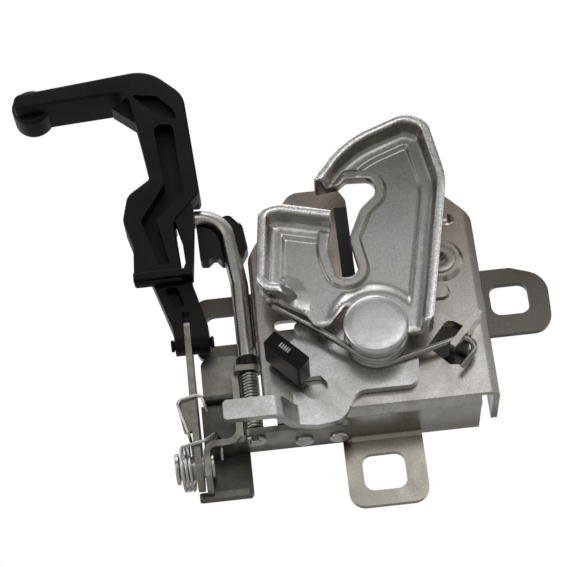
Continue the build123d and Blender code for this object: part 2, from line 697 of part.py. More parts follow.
def handle():
    """Moulded pull handle: grip with an end stop, ribbed stem, collar and forked foot."""
    back = HANDLE_FRONT + HANDLE_DEPTH
    body = slab(rounded(HANDLE_OUTLINE), HANDLE_FRONT, HANDLE_DEPTH)
    body = fillet(body.edges().group_by(Axis.Y)[0] + body.edges().group_by(Axis.Y)[-1], 0.9)
    stop = slab(Pos(-102.8, 102.2) * Circle(6.5), 2.0, back - 2.0)
    stop = fillet(stop.edges().group_by(Axis.Y)[0] + stop.edges().group_by(Axis.Y)[-1], 1.2)
    gusset = rounded([(-76.0, 97.0, 0), (-70.0, 101.0, 0), (-62.0, 96.0, 0), (-66.0, 88.0, 0)])
    gusset = slab(gusset, 1.0, 6.0)
    body = body + stop + gusset

    # One groove that lightens the stem and follows its jog, and a hollow in the corner
    body = body - slab(rounded(GROOVE), HANDLE_FRONT - 1.0, GROOVE_DEPTH + 1.0)
    body = body - slab(rounded(CORNER_HOLLOW), HANDLE_FRONT - 1.0, HOLLOW_DEPTH + 1.0)

    # The stem is thinner than the grip, and its lower end slopes back
    hidden = [(14.0, 94.0), (STEM_BACK, 84.0), (STEM_BACK, 36.0), (-0.4, 29.6), (-0.4, 20.0), (14.0, 20.0)]
    body = body - side_slab(rounded([(y, z, 0) for y, z in hidden]), -80.0, 40.0)

    side = slab(rounded(SIDE_WALL), HANDLE_FRONT + 0.6, 5.2)
    collar = Pos(-63.1, -2.5, 30.7) * Box(18.6, 3.4, 2.6)
    collar = fillet(collar.edges().filter_by(Axis.Z) + collar.edges().filter_by(Axis.X), 0.5)

    foot = slab(rounded(FOOT_OUTLINE), FORK_FRONT, FORK_BACK)
    profile = [
        (FORK_FRONT, 34.0, 0),
        (STEM_BACK, 34.0, 0),
        (STEM_BACK, 22.0, 8.0),
        (FORK_BACK, 13.0, 6.0),
        (FORK_BACK, FORK_END, 3.0),
        (FORK_FRONT, FORK_END, 4.5),
    ]
    foot = foot & side_slab(rounded(profile), -80.0, 40.0)
    recess = rounded([(-63.4, 27.4, 1.0), (-59.2, 27.4, 1.0), (-57.0, 20.2, 1.0), (-60.2, 20.2, 1.0)])
    foot = foot - slab(recess, FORK_FRONT - 1.0, 4.0)
    gap_width = HANDLE_LEVER_THICK + 0.4
    gap = Pos(HANDLE_LEVER_X, 5.0, 8.0) * Box(gap_width, 14.0, 21.0)
    foot = foot - gap
    body = body + side + collar + foot

    # Pocket, open to the back, that the end of the rod swings out of
    body = body - Pos(-54.0, 8.2, 54.4) * Box(12.0, 10.4, 8.6)
    return body - x_rod(PIN_Y, PIN_Z, PIN_RADIUS, -70.0, -40.0)


def handle_pin():
    """Cross pin that fastens the handle's fork to the metal lever."""
    shank = x_rod(PIN_Y, PIN_Z, PIN_RADIUS, -62.4, -49.8)
    left_head = x_rod(PIN_Y, PIN_Z, PIN_HEAD, -62.8, -61.8)
    right_head = x_rod(PIN_Y, PIN_Z, PIN_HEAD, -50.4, -49.4)
    return shank + left_head + right_head


def hook_rod():
    """Bent round rod: its end reaches behind the handle, its journal turns in the bush."""
    bends = [(-57.5, ROD_Y, 54.4), (-42.9, ROD_Y, 54.2), (-39.9, ROD_Y, 29.0), (ROD_X, ROD_Y, SPIGOT_TOP)]
    rod = wire_along(bends, ROD_BENDS, ROD_RADIUS)
    spigot = level_slab(Circle(SPIGOT_RADIUS), SPIGOT_BOTTOM, SPIGOT_TOP - SPIGOT_BOTTOM)
    return rod + Pos(ROD_X, ROD_Y, 0) * spigot


def rod_clip():
    """Plastic clip snapped over the rod's bend from behind, with two short feet."""
    shape = rounded(
        [
            (-51.8, 52.0, 1.0),
            (-41.0, 55.0, 2.0),
            (-37.0, 50.0, 4.0),
            (-36.0, 41.6, 2.0),
            (-38.4, 37.6, 1.0),
            (-44.6, 37.8, 1.0),
            (-46.6, 40.6, 1.0),
            (-49.0, 38.4, 1.0),
            (-51.4, 38.6, 1.0),
        ]
    )
    clip = slab(shape, ROD_Y - 1.0, 4.9)
    bends = [(-60.0, ROD_Y, 54.4), (-42.9, ROD_Y, 54.2), (-39.9, ROD_Y, 29.0), (ROD_X, ROD_Y, 10.0)]
    hollow = wire_along(bends, ROD_BENDS, ROD_RADIUS + 0.05)
    opening = [
        (-60.0, 51.0, 0),
        (-46.0, 51.0, 6.0),
        (-42.6, 30.0, 0),
        (-36.6, 30.0, 0),
        (-38.5, 60.0, 0),
        (-60.0, 60.0, 0),
    ]
    return clip - hollow - slab(rounded(opening), -2.0, ROD_Y + 2.0)


def rod_bush():
    """Plastic bush in the bracket's ear, which the rod's journal turns in."""
    collar = Pos(ROD_X, ROD_Y, EAR_Z + 1.6) * Cylinder(BUSH_COLLAR, 3.2)
    collar = fillet(collar.edges().group_by(Axis.Z)[-1], 0.6)
    body = Pos(ROD_X, ROD_Y, EAR_Z - SHEET / 2) * Cylinder(BUSH_BODY, SHEET)
    bore = Pos(ROD_X, ROD_Y, EAR_Z) * Cylinder(SPIGOT_RADIUS + 0.05, 12.0)
    return collar + body - bore


def rod_spring():
    """Close-wound torsion spring on the rod's thin lower end."""
    top = EAR_Z - SHEET - 0.4
    turns = 18
    pitch = (top - (STRAP_TOP + 0.3)) / turns
    inner = ROD_SPRING_RADIUS - ROD_WIRE / 2
    valley = inner + 0.4
    crest = inner + ROD_WIRE
    corners = [(inner, top), (valley, top)]
    for turn in range(turns):
        z = top - turn * pitch
        corners = corners + [(crest, z - 0.3 * pitch), (crest, z - 0.7 * pitch), (valley, z - pitch)]
    corners = corners + [(inner, top - turns * pitch)]
    profile = make_face(Polyline(*corners, close=True).edges())
    coil = revolve(Plane.XZ * profile, axis=Axis.Z)
    return Pos(ROD_X, ROD_Y, 0) * coil


def rod_ring():
    """Retaining ring at the foot of the rod, below the bracket."""
    ring = Circle(3.4) - Circle(SPIGOT_RADIUS)
    ring = ring - Pos(0, -3.0) * Rectangle(2.0, 4.0)
    return Pos(ROD_X, ROD_Y, 0) * level_slab(ring, STRAP_BOTTOM - RING_GAP - RING_THICK, RING_THICK)


PIECES = {
    "main_plate": main_plate,
    "slot_lining": slot_lining,
    "main_rivet": main_rivet,
    "spacer_bush": spacer_bush,
    "catch": catch,
    "catch_spring": catch_spring,
    "release_lever": release_lever,
    "lever_buffer": lever_buffer,
    "detent_pawl": detent_pawl,
    "pawl_cover": pawl_cover,
    "pawl_rivet": pawl_rivet,
    "side_bracket": side_bracket,
    "bracket_rivets": bracket_rivets,
    "handle_lever": handle_lever,
    "lever_pivot_pin": lever_pivot_pin,
    "handle_return_spring": handle_return_spring,
    "handle": handle,
    "handle_pin": handle_pin,
    "hook_rod": hook_rod,
    "rod_clip": rod_clip,
    "rod_bush": rod_bush,
    "rod_spring": rod_spring,
    "rod_ring": rod_ring,
}

os.makedirs("parts", exist_ok=True)
for name, make in PIECES.items():
    shape = make()
    solids = []
    for item in shape if isinstance(shape, list) else [shape]:
        solids = solids + list((TO_FRAME * item).solids())
    whole = solids[0] if len(solids) == 1 else Compound(children=solids)
    whole.label = name
    export_step(whole, f"parts/{name}.step")
    print(name, len(solids), "solids", round(sum(s.volume for s in solids), 1), "mm3")
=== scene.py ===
import math

import bmesh
import bpy
import numpy as np
from mathutils import Matrix, Vector
from mathutils.geometry import delaunay_2d_cdt


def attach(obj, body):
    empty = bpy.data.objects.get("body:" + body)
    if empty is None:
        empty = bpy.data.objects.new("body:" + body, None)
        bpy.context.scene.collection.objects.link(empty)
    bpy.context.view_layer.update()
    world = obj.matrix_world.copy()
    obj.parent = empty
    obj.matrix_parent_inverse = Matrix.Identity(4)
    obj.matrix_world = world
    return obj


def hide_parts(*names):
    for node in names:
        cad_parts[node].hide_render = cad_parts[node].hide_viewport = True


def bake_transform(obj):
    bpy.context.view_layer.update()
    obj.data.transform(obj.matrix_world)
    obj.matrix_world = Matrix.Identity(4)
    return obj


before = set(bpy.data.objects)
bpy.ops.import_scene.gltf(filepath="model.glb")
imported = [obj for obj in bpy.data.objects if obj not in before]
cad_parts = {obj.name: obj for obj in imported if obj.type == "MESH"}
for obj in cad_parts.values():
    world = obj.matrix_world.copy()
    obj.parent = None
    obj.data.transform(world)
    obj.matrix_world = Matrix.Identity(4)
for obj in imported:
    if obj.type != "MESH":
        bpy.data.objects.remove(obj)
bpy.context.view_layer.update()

# CAMERA. The latch is photographed from in front and well below, with a long lens.
# Its axes are those of a camera matched to the bolt holes and the rivet's head.
RIVET = np.array([-4.1, -20.0, -21.3])  # the main rivet's axis at the plate's face, mm
EYE = np.array([-30.221, -516.214, -245.761])
EYE_RIGHT = (0.99409873, 0.04384372, -0.09922424)
EYE_UP = (0.10823572, -0.46212215, 0.88018643)
EYE_BACK = (-0.00726307, -0.88573182, -0.46414049)
FOCAL_PIXELS = 1866.67
PHOTO_PIXELS = 567


def here(points):
    """Points measured from the main rivet in mm, as metres in the model's own frame."""
    return (np.asarray(points, float) + RIVET) * 0.001


camera = bpy.data.objects.new("camera", bpy.data.cameras.new("camera"))
bpy.context.collection.objects.link(camera)
camera.data.sensor_width = 36.0
camera.data.lens = FOCAL_PIXELS * camera.data.sensor_width / PHOTO_PIXELS
camera.matrix_world = Matrix.Translation(Vector(here(EYE))) @ Matrix(
    (EYE_RIGHT, EYE_UP, EYE_BACK)).transposed().to_4x4()
camera.data.clip_start = 0.05
camera.data.clip_end = 30.0
bpy.context.scene.camera = camera
bpy.context.scene.view_settings.view_transform = "Standard"


# STUDIO. White paper all round, three large soft lamps in front, above and to the left,
# and a pale floor far enough below the latch that the low camera looks over it.
def linear(code):
    """An sRGB hex colour as linear red, green, blue and alpha."""
    parts = np.array([int(code[i:i + 2], 16) for i in (1, 3, 5)]) / 255.0
    low = parts / 12.92
    high = ((parts + 0.055) / 1.055) ** 2.4
    return (*np.where(parts <= 0.04045, low, high), 1.0)


def add_node(tree, kind, links=None, stops=(), **settings):
    """One shader node: settings by attribute name, links by input name or number, and a
    colour ramp's stops as (position, hex) pairs.

    A MapRange's inputs 0 to 4 are the value, then the range it comes from and goes to."""
    node = tree.nodes.new("ShaderNode" + kind)
    for name, value in settings.items():
        setattr(node, name, value)
    for name, source in (links or {}).items():
        socket = node.inputs[name]
        if isinstance(source, bpy.types.NodeSocket):
            tree.links.new(source, socket)
        else:
            socket.default_value = source
    if stops:
        while len(node.color_ramp.elements) < len(stops):
            node.color_ramp.elements.new(0.5)
        for element, (position, code) in zip(node.color_ramp.elements, stops):
            element.position = position
            element.color = linear(code)
    return node


ROOM_LIGHT = 0.24  # strength of the room on matt surfaces
ROOM_IN_METAL = 0.92  # and of what polished metal mirrors of it
SKY_BANDS = [  # from straight down to straight up: floor, walls, a dark band, pale ceiling
    (0.0, "#bcbcbc"), (0.27, "#ffffff"), (0.42, "#d8d8d8"), (0.655, "#fafafa"),
    (0.745, "#5c5c5e"), (0.84, "#8c8c8c"), (0.93, "#ffffff")]

world = bpy.data.worlds.new("white_studio")
bpy.context.scene.world = world
world.use_nodes = True
tree = world.node_tree
tree.nodes.clear()
direction = add_node(tree, "TexCoord").outputs["Generated"]
split = add_node(tree, "SeparateXYZ", {0: direction})
height = add_node(tree, "MapRange", {0: split.outputs["Z"], 1: -1.0, 2: 1.0}).outputs[0]
sky = add_node(tree, "ValToRGB", {0: height}, SKY_BANDS).outputs[0]
ray = add_node(tree, "LightPath").outputs
seen = add_node(tree, "Math", {0: ray["Is Glossy Ray"], 1: ray["Is Transmission Ray"]},
                operation="MAXIMUM").outputs[0]
room = add_node(tree, "Background", {"Color": sky, "Strength": ROOM_LIGHT})
shine = add_node(tree, "Background", {"Color": sky, "Strength": ROOM_IN_METAL})
paper = add_node(tree, "Background", {"Color": linear("#ffffff"), "Strength": 1.0})
lit = add_node(tree, "MixShader", {0: seen, 1: room.outputs[0], 2: shine.outputs[0]})
all_rays = add_node(tree, "MixShader", {0: ray["Is Camera Ray"], 1: lit.outputs[0], 2: paper.outputs[0]})
add_node(tree, "OutputWorld", {"Surface": all_rays.outputs[0]})

LATCH_MIDDLE = Vector((-0.03, -0.02, 0.0))
LAMPS = {  # name: (place in m, power in W, size in m)
    "softbox_front": ((0.35, -1.30, 0.30), 1.6, (0.9, 0.5)),
    "softbox_top": ((-0.30, -0.50, 1.30), 4.5, (1.2, 0.8)),
    "softbox_left": ((-1.30, -0.60, -0.10), 2.2, (0.5, 1.0)),
}
for name, (place, power, size) in LAMPS.items():
    lamp = bpy.data.objects.new(name, bpy.data.lights.new(name, "AREA"))
    bpy.context.collection.objects.link(lamp)
    lamp.data.shape = "RECTANGLE"
    lamp.data.size, lamp.data.size_y = size
    lamp.data.energy = power
    lamp.location = place
    aim = LATCH_MIDDLE - Vector(place)
    lamp.rotation_euler = aim.to_track_quat("-Z", "Y").to_euler()

FLOOR_DROP = 0.75
FLOOR_HALF = 4.0
FLOOR_GLOW = 0.60  # makes the floor pale to the eye, and puts no light on the latch
GLOW_IN_METAL = 0.20  # the little of it that metal mirrors

floor_mesh = bpy.data.meshes.new("floor")
corners = FLOOR_HALF * np.array([(-1, -1), (1, -1), (1, 1), (-1, 1)], float)
floor_mesh.from_pydata(np.c_[corners, np.full(4, -FLOOR_DROP)].tolist(), [], [(0, 1, 2, 3)])
floor = bpy.data.objects.new("floor", floor_mesh)
bpy.context.collection.objects.link(floor)
pale = bpy.data.materials.new("pale_floor_paint")
pale.use_nodes = True
tree = pale.node_tree
shader = tree.nodes["Principled BSDF"]
shader.inputs["Base Color"].default_value = linear("#e6e6e4")
shader.inputs["Roughness"].default_value = 0.9
shader.inputs["Emission Color"].default_value = linear("#f4f4f2")
ray = add_node(tree, "LightPath").outputs
mirrored = add_node(tree, "Math", {0: ray["Is Glossy Ray"], 1: GLOW_IN_METAL}, operation="MULTIPLY")
glow = add_node(tree, "Math", {0: ray["Is Camera Ray"], 1: FLOOR_GLOW, 2: mirrored.outputs[0]},
                operation="MULTIPLY_ADD")
tree.links.new(glow.outputs[0], shader.inputs["Emission Strength"])
floor_mesh.materials.append(pale)


# LATCH PLATE. A pan pressed from 2 mm steel, zinc plated and passivated, which leaves a
# satin skin with cloudy marks. Three tabs at the back bolt it on. Painted shade makes them
# and the insides of the pan darker than the face, and paints the face browner and darker
# towards its top.
def welded(node):
    """Vertices and triangles of a CAD node with the vertices at one place joined."""
    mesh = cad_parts[node].data
    spots = np.empty(len(mesh.vertices) * 3, np.float64)
    mesh.vertices.foreach_get("co", spots)
    corner = np.empty(len(mesh.loops), np.int64)
    mesh.loops.foreach_get("vertex_index", corner)
    keys, back = np.unique(np.round(spots.reshape(-1, 3), 7), axis=0, return_inverse=True)
    faces = back.ravel()[corner].reshape(-1, 3)
    whole = (faces[:, 0] != faces[:, 1]) & (faces[:, 1] != faces[:, 2]) & (faces[:, 0] != faces[:, 2])
    return keys, faces[whole]


def put(name, vertices, faces, material, body, slot, *nodes):
    """A mesh object at the origin, which rides on a body if one is named and stands for
    CAD nodes."""
    mesh = bpy.data.meshes.new(name)
    mesh.from_pydata(np.asarray(vertices).tolist(), [], list(map(list, faces)))
    mesh.polygons.foreach_set("use_smooth", np.ones(len(mesh.polygons), bool))
    mesh.materials.append(material)
    mesh.validate()
    piece = bpy.data.objects.new(name, mesh)
    bpy.context.collection.objects.link(piece)
    if body:
        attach(piece, body)
    if nodes:
        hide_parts(*nodes)
    return piece


def broken_edges(name, node, material, body, width, steps=2, angle=32.0, corners=True):
    """A CAD node's own shape with its sharp edges rounded to the width given in mm, and
    its inside corners too unless corners is off."""
    vertices, faces = welded(node)
    piece = put(name, vertices, faces, material, body, node, node)
    shape = bmesh.new()
    shape.from_mesh(piece.data)
    bmesh.ops.remove_doubles(shape, verts=shape.verts, dist=2e-6)
    bmesh.ops.dissolve_limit(shape, angle_limit=math.radians(0.6), verts=shape.verts, edges=shape.edges)
    sharpness = shape.edges.layers.float.new("bevel_weight_edge")
    for edge in shape.edges:
        bend = edge.calc_face_angle_signed(0.0)  # positive outside, negative in a corner
        sharp = abs(bend) > math.radians(angle)
        rounded = corners or bend > 0.0
        edge[sharpness] = float(rounded and sharp)
        edge.smooth = rounded or not sharp
    shape.to_mesh(piece.data)
    shape.free()
    bevel = piece.modifiers.new("edge", "BEVEL")
    bevel.width = width * 0.001
    bevel.segments = steps
    bevel.limit_method = "WEIGHT"
    bevel.harden_normals = True
    bevel.use_clamp_overlap = True
    return piece


SPECK_MM = 3.846  # size of the darker wear specks
SALT_MM = 0.6667  # the zinc's crystals, drawn coarser than they are so that they show


def zinc_steel(name, tint, shade, rough, cloud_mm=14.0, grain_mm=0.35, stain=None):
    """Zinc-plated steel: metal, its tone clouded at cloud_mm, with a fine pickled grain.

    The gloss follows the clouds, and the function given last, called with (tree, place, tone),
    may colour parts of it: some give a real tint, others painted shade and a painted glint."""
    material = bpy.data.materials.new(name)
    material.use_nodes = True
    tree = material.node_tree
    shader = tree.nodes["Principled BSDF"]
    shader.inputs["Metallic"].default_value = 1.0
    place = add_node(tree, "TexCoord").outputs["Object"]
    cloud = add_node(tree, "TexNoise", {"Vector": place, "Scale": 1000.0 / cloud_mm, "Detail": 5.0,
                                        "Roughness": 0.6, "Distortion": 0.6}).outputs["Fac"]
    tone = add_node(tree, "ValToRGB", {0: cloud}, [(0.30, shade), (0.68, tint)]).outputs[0]
    wear = add_node(tree, "TexNoise", {"Vector": place, "Scale": 1000.0 / SPECK_MM, "Detail": 8.0,
                                       "Roughness": 0.75}).outputs["Fac"]
    speck = add_node(tree, "MapRange", {0: wear, 1: 0.60, 2: 0.74, 3: 0.0, 4: 0.35}).outputs[0]
    tone = add_node(tree, "Mix", {"Factor": speck, "A": tone, "B": linear("#6f6a61")},
                    data_type="RGBA").outputs["Result"]
    if stain:
        tone = stain(tree, place, tone)
    salt = add_node(tree, "TexNoise", {"Vector": place, "Scale": 1000.0 / SALT_MM, "Detail": 2.0,
                                       "Roughness": 0.7}).outputs["Fac"]
    depth = add_node(tree, "MapRange", {0: salt, 1: 0.36, 2: 0.64, 3: 0.90, 4: 1.08}).outputs[0]
    tone = add_node(tree, "VectorMath", {0: tone, "Scale": depth}, operation="SCALE").outputs[0]
    tree.links.new(tone, shader.inputs["Base Color"])
    gloss = add_node(tree, "MapRange", {0: cloud, 1: 0.3, 2: 0.7, 3: rough + 0.07, 4: rough - 0.05})
    tree.links.new(gloss.outputs[0], shader.inputs["Roughness"])
    grain = add_node(tree, "TexNoise", {"Vector": place, "Scale": 1000.0 / grain_mm, "Detail": 3.0})
    bump = add_node(tree, "Bump", {"Height": grain.outputs["Fac"], "Strength": 0.14, "Distance": 0.00006})
    tree.links.new(bump.outputs[0], shader.inputs["Normal"])
    return material


def dull_depths(tree, place, tone):
    """Painted shade: darkens the tabs and the insides, which lie more than 8 mm behind the
    face, the higher ones the more, and paints the face browner and darker towards its top."""
    part = add_node(tree, "SeparateXYZ", {0: place}).outputs
    warm = add_node(tree, "MapRange", {0: part["Z"], 1: -0.012, 2: 0.018, 3: 0.0, 4: 0.62}).outputs[0]
    tone = add_node(tree, "Mix", {"Factor": warm, "A": tone, "B": linear("#9b8877")},
                    data_type="RGBA").outputs["Result"]
    high = add_node(tree, "MapRange", {0: part["Z"], 1: -0.045, 2: -0.030, 3: 0.0, 4: 1.0}).outputs[0]
    dull = add_node(tree, "Mix", {"Factor": high, "A": linear("#99948a"), "B": linear("#5a564f")},
                    data_type="RGBA").outputs["Result"]
    deep = add_node(tree, "MapRange", {0: part["Y"], 1: -0.013, 2: -0.004, 3: 0.0, 4: 0.9}).outputs[0]
    return add_node(tree, "Mix", {"Factor": deep, "A": tone, "B": dull},
                    data_type="RGBA").outputs["Result"]


plate_zinc = zinc_steel("zinc_plated_pressing", "#cfccc7", "#aca7a0", 0.26, stain=dull_depths)
broken_edges("latch_plate", "main_plate", plate_zinc, "frame_body", 0.30, corners=False)


# SLOT LINING. Soft U-shaped trim pushed over the left edge of the striker slot, of
# extruded black rubber with a dull, slightly dusty skin.
DUST_MM = 11.11  # size of the dusty patches


def moulding(name, colour, rough, shine, grain_mm, dust=0.0):
    """Moulded plastic or rubber: a fine moulded grain, and pale dust in soft patches."""
    material = bpy.data.materials.new(name)
    material.use_nodes = True
    tree = material.node_tree
    shader = tree.nodes["Principled BSDF"]
    shader.inputs["Specular IOR Level"].default_value = shine
    place = add_node(tree, "TexCoord").outputs["Object"]
    patch = add_node(tree, "TexNoise", {"Vector": place, "Scale": 1000.0 / DUST_MM, "Detail": 6.0,
                                        "Roughness": 0.65}).outputs["Fac"]
    amount = add_node(tree, "MapRange", {0: patch, 1: 0.45, 2: 0.75, 3: 0.0, 4: dust}).outputs[0]
    tone = add_node(tree, "Mix", {"Factor": amount, "A": linear(colour), "B": linear("#5a5856")},
                    data_type="RGBA").outputs["Result"]
    tree.links.new(tone, shader.inputs["Base Color"])
    gloss = add_node(tree, "MapRange", {0: patch, 1: 0.3, 2: 0.7, 3: rough - 0.04, 4: rough + 0.06})
    tree.links.new(gloss.outputs[0], shader.inputs["Roughness"])
    grain = add_node(tree, "TexNoise", {"Vector": place, "Scale": 1000.0 / grain_mm, "Detail": 2.0})
    bump = add_node(tree, "Bump", {"Height": grain.outputs["Fac"], "Strength": 0.25, "Distance": 0.00005})
    tree.links.new(bump.outputs[0], shader.inputs["Normal"])
    return material


trim_rubber = moulding("trim_rubber", "#1d1f27", 0.55, 0.35, 0.4, 0.12)
broken_edges("slot_trim", "slot_lining", trim_rubber, "frame_body", 0.18)


# MAIN RIVET. Turned from steel bar with a broad, slightly domed head, and closed over
# behind the plate. Its face keeps the fine rings of the turning tool.
def ring_faces(rings, around):
    """The four-sided faces between rings of points: point i of ring r joins point i + 1
    beside it and both of theirs in ring r + 1."""
    ring, side = np.meshgrid(np.arange(rings - 1), np.arange(around), indexing="ij")
    near = ring * around + side
    beside = ring * around + (side + 1) % around
    return np.stack([near, beside, beside + around, near + around], axis=-1).reshape(-1, 4)


def turned(name, profile, centre, material, body, slot, *nodes, around=72):
    """A turned part. The profile's (radius, y) pairs, in mm from the main rivet, spin
    about the Y axis through centre (x, z): x + r cos a, y, z + r sin a."""
    radius, depth = np.array(profile, float).T
    angle = np.linspace(0.0, 2 * np.pi, around, endpoint=False)
    x = centre[0] + radius[:, None] * np.cos(angle)
    z = centre[1] + radius[:, None] * np.sin(angle)
    y = np.broadcast_to(depth[:, None], x.shape)
    spots = np.stack([x, y, z], axis=-1).reshape(-1, 3)
    return put(name, here(spots), ring_faces(len(radius), around), material, body, slot, *nodes)


def tool_rings(name, tint, shade, rough, centre, pitch_mm):
    """Turned steel: zinc steel whose bump is the sine of the distance from the axis. The
    rings are drawn coarser than a tool cuts them, so that they show."""
    material = zinc_steel(name, tint, shade, rough, cloud_mm=9.0)
    tree = material.node_tree
    shader = tree.nodes["Principled BSDF"]
    place = add_node(tree, "TexCoord").outputs["Object"]
    flat = add_node(tree, "VectorMath", {0: place, 1: (1.0, 0.0, 1.0)}, operation="MULTIPLY").outputs[0]
    axis_x, _, axis_z = here((centre[0], 0.0, centre[1]))
    radius = add_node(tree, "VectorMath", {0: flat, 1: (axis_x, 0.0, axis_z)},
                      operation="DISTANCE").outputs["Value"]
    phase = add_node(tree, "Math", {0: radius, 1: 2000.0 * math.pi / pitch_mm}, operation="MULTIPLY")
    wave = add_node(tree, "Math", {0: phase.outputs[0]}, operation="SINE").outputs[0]
    rings = add_node(tree, "Bump", {"Height": wave, "Strength": 0.22, "Distance": 0.00002})
    tree.links.new(shader.inputs["Normal"].links[0].from_socket, rings.inputs["Normal"])
    tree.links.new(rings.outputs[0], shader.inputs["Normal"])
    return material


rivet_steel = tool_rings("turned_rivet_steel", "#dad9d8", "#bfbdbb", 0.30, (0.0, 0.0), 0.7)
rivet_profile = [  # head, then shank, then the closed end behind the plate
    (0.0, -15.95), (3.0, -15.95), (6.5, -15.90), (8.7, -15.75), (9.4, -15.50), (9.75, -15.10),
    (9.8, -14.70), (9.8, -13.55), (9.65, -13.30), (9.4, -13.20), (5.0, -13.20), (5.0, 2.0),
    (8.0, 2.0), (7.95, 2.5), (7.5, 3.2), (6.6, 3.5), (3.0, 3.6), (0.0, 3.6)]
turned("main_rivet_turned", rivet_profile, (0.0, 0.0), rivet_steel, "frame_body", "main_rivet", "main_rivet")

# SPACER BUSH. A plain turned steel sleeve, pushed over the rivet's shank, which keeps
# the catch clear of the lever.
bush_profile = [
    (5.0, -10.1), (6.8, -10.1), (7.0, -9.9), (7.0, -3.6), (6.8, -3.4), (5.0, -3.4), (5.0, -10.1)]
turned("spacer_sleeve", bush_profile, (0.0, 0.0), rivet_steel, "frame_body", "spacer_bush", "spacer_bush")


# CATCH. Blanked from 2.8 mm steel and pressed: its outer edges are turned forward into a
# deep rim with a rounded root, the web inside steps back once more, and the mouth that
# takes the striker is coined up. Zinc plated, with painted shade towards the top of the hook
# and a painted glint on the rim's front edge.
def bent(corners, radii, step=0.5):
    """Points along straight runs that meet in arcs of the given radii, all in mm.

    At a corner with unit runs a (in) and b (out), turning by t, the arc starts and ends
    radius * tan(t / 2) from the corner, and its centre is out along b - a."""
    corners = np.asarray(corners, float)
    route = [corners[0]]
    for before, corner, after, radius in zip(corners, corners[1:], corners[2:], radii):
        a = (corner - before) / np.linalg.norm(corner - before)
        b = (after - corner) / np.linalg.norm(after - corner)
        turn = math.acos(np.clip(a @ b, -1.0, 1.0))
        cut = radius * math.tan(turn / 2)
        inward = (b - a) / np.linalg.norm(b - a)
        centre = corner + inward * math.hypot(radius, cut)
        start = corner - a * cut
        steps = max(2, int(radius * turn / step))
        angles = np.linspace(0.0, turn, steps + 1)[:, None]
        route.extend(centre + (start - centre) * np.cos(angles) + a * radius * np.sin(angles))
    route.append(corners[-1])
    return np.array(route)


def reach(spots, starts, ends):
    """Distance of each spot from the nearest of many straight runs: |p - a - t (b - a)|
    with t = (p - a).(b - a) / |b - a|^2 kept between 0 and 1."""
    run = ends - starts
    along = ((spots[:, None] - starts) * run).sum(-1) / (run ** 2).sum(-1)
    gap = spots[:, None] - starts - np.clip(along, 0.0, 1.0)[..., None] * run
    return np.sqrt((gap ** 2).sum(-1)).min(1)


def spaced(route, step):
    """The route's points with more between them, so that none are further apart than step."""
    pieces = [np.linspace(a, b, max(2, int(np.ceil(np.linalg.norm(b - a) / step)) + 1))[:-1]
              for a, b in zip(route, route[1:])]
    return np.concatenate(pieces + [route[-1:]])


def open_edges(triangles):
    """The edges that only one triangle has, as pairs in that triangle's own order."""
    pairs = np.concatenate([triangles[:, [0, 1]], triangles[:, [1, 2]], triangles[:, [2, 0]]])
    ways = {tuple(pair) for pair in pairs.tolist()}
    return [(a, b) for a, b in ways if (b, a) not in ways]


def back_loops(node, depth_mm):
    """The outlines of a CAD node's flat back, as closed loops of (x, z) in mm."""
    vertices, faces = welded(node)
    spots = vertices * 1000.0 - RIVET
    flat = faces[(np.abs(spots[faces][:, :, 1] - depth_mm) < 0.004).all(1)]
    follow = dict(open_edges(flat))
    loops = []
    while follow:
        first, here_now = follow.popitem()
        loop = [first]
        while here_now != first:
            loop.append(here_now)
            here_now = follow.pop(here_now)
        loops.append(spots[loop][:, [0, 2]])
    return loops


def covers(loops, spots):
    """True for the spots inside the loops: a level line to the right crosses them an odd
    number of times."""
    crossings = np.zeros(len(spots), int)
    for loop in loops:
        a, b = loop, np.roll(loop, -1, axis=0)
        span = (a[:, 1] > spots[:, None, 1]) != (b[:, 1] > spots[:, None, 1])
        rise = np.where(b[:, 1] == a[:, 1], 1.0, b[:, 1] - a[:, 1])
        cut = a[:, 0] + (spots[:, None, 1] - a[:, 1]) / rise * (b[:, 0] - a[:, 0])
        crossings += (span & (cut > spots[:, None, 0])).sum(1)
    return crossings % 2 == 1


# Outlines in mm, as (x, 0, z): the rim runs round hook and lobe, the band round the mouth.
hook_rim = bent([(16.9, 0, -2.9), (27.4, 0, 45.5), (24.2, 0, 66.6), (17.0, 0, 70.4), (-3.2, 0, 62.7),
                 (-14.2, 0, 48.9)], [26.0, 6.0, 8.0, 34.0])[:, [0, 2]]
lobe_rim = bent([(-9.3, 0, 38.1), (-25.0, 0, 42.3), (-31.4, 0, 41.4), (-34.3, 0, 16.8), (-32.0, 0, 13.2),
                 (-28.0, 0, 12.3)], [7.0, 4.5, 4.0, 3.0])[:, [0, 2]]
mouth_edge = bent([(-14.2, 0, 48.9), (-5.6, 0, 49.7), (-3.2, 0, 51.8), (6.3, 0, 51.2), (5.2, 0, 45.3),
                   (0.2, 0, 40.9), (-4.4, 0, 31.0), (-2.3, 0, 17.4), (-9.5, 0, 17.2), (-11.7, 0, 27.5),
                   (-9.3, 0, 38.1)], [2.0, 2.0, 3.4, 2.4, 8.0, 6.0, 3.6, 3.6, 12.0])[:, [0, 2]]
POINT_GAP = 0.45
rims = [spaced(hook_rim, POINT_GAP), spaced(lobe_rim, POINT_GAP)]
mouth = [spaced(mouth_edge, POINT_GAP)]

# Depths in mm from the plate's face, with minus forwards.
WEB_FRONT = -13.0
WEB_BACK = -10.2
RIM_FRONT = -20.0
WALL_TOP = 4.3  # how far the rim's inner wall stands above its root
